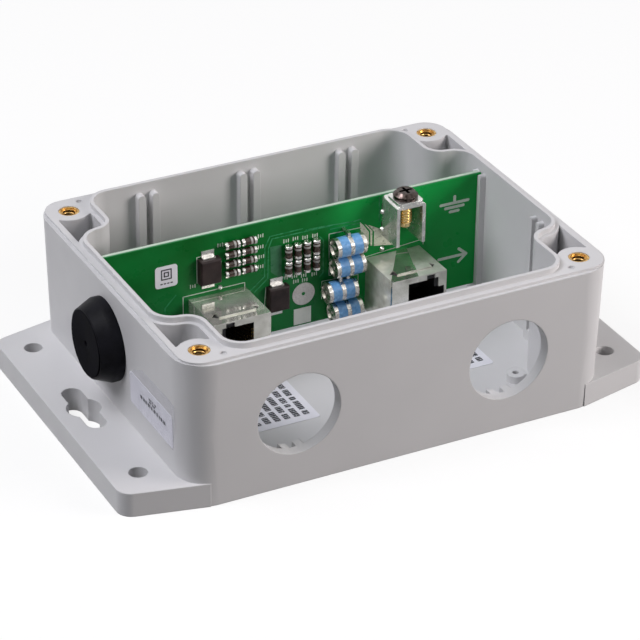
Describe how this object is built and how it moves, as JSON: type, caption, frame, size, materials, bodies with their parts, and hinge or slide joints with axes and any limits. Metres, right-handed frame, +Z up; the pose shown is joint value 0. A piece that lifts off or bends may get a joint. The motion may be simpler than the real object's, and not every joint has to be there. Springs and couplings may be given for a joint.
{
  "type": "ethernet surge protector",
  "caption": "Open wall box with fixing flanges, holding an upright circuit board with shielded network jacks, gas tubes, diodes and a screw earth terminal.",
  "frame": {"origin": "on the mounting plane, under the middle of the box", "axes": "+X to the right along the front wall, +Y to the back, +Z up out of the mounting plane"},
  "size_m": [0.1432, 0.0904, 0.0405],
  "materials": {
    "enclosure": "fine moulded satin",
    "insert_brass": "machined",
    "grommet_rubber": "matt",
    "board_laminate": "glossy solder mask",
    "jack_shield": "bright tin plate",
    "jack_housing": "matt",
    "jack_contact": "gold plated",
    "tube_ceramic": "printed blue",
    "tube_electrode": "tinned",
    "diode": "black barrel with tinned ends",
    "suppressor_mould": "moulded",
    "suppressor_lead": "tinned",
    "terminal_metal": "tin plate",
    "washer_metal": "nickel plate",
    "screw_metal": "plated",
    "label_paper": "white"
  },
  "bodies": {
    "box": {"board_sticker": "label_paper", "cable_grommet": "grommet_rubber", "circuit_board": "board_laminate", "enclosure_base": "enclosure", "flat_diode_11": "diode", "flat_diode_12": "diode", "flat_diode_21": "diode", "flat_diode_22": "diode", "flat_diode_31": "diode", "flat_diode_32": "diode", "flat_diode_41": "diode", "flat_diode_42": "diode", "floor_label_left": "label_paper", "floor_label_right": "label_paper", "gas_tube_1_ceramic": "tube_ceramic", "gas_tube_1_electrodes": "tube_electrode", "gas_tube_2_ceramic": "tube_ceramic", "gas_tube_2_electrodes": "tube_electrode", "gas_tube_3_ceramic": "tube_ceramic", "gas_tube_3_electrodes": "tube_electrode", "gas_tube_4_ceramic": "tube_ceramic", "gas_tube_4_electrodes": "tube_electrode", "jack_left_contacts": "jack_contact", "jack_left_housing": "jack_housing", "jack_left_shield": "jack_shield", "jack_right_contacts": "jack_contact", "jack_right_housing": "jack_housing", "jack_right_shield": "jack_shield", "side_label": "label_paper", "suppressor_1_body": "suppressor_mould", "suppressor_1_leads": "suppressor_lead", "suppressor_2_body": "suppressor_mould", "suppressor_2_leads": "suppressor_lead", "terminal_bracket": "terminal_metal", "threaded_inserts": "insert_brass", "upright_diode_11": "diode", "upright_diode_12": "diode", "upright_diode_13": "diode", "upright_diode_14": "diode", "upright_diode_21": "diode", "upright_diode_22": "diode", "upright_diode_23": "diode", "upright_diode_24": "diode"},
    "clamp_washer": {"terminal_washer": "washer_metal"},
    "clamp_screw": {"terminal_screw": "screw_metal"}
  },
  "joints": [
    {"name": "clamp_lift", "type": "slide", "parent": "box", "child": "clamp_washer", "axis": [0, 0, 1], "range_m": [0, 0.003]},
    {"name": "clamp_turn", "type": "hinge", "parent": "clamp_washer", "child": "clamp_screw", "pos_m": [0.02865, 0.0091, 0.0378], "axis": [0, 0, 1], "range_deg": [0, 2160]}
  ],
  "couplings": [
    {"joint": "clamp_turn", "follows": "clamp_lift", "rad_per_m": 12566}
  ]
}
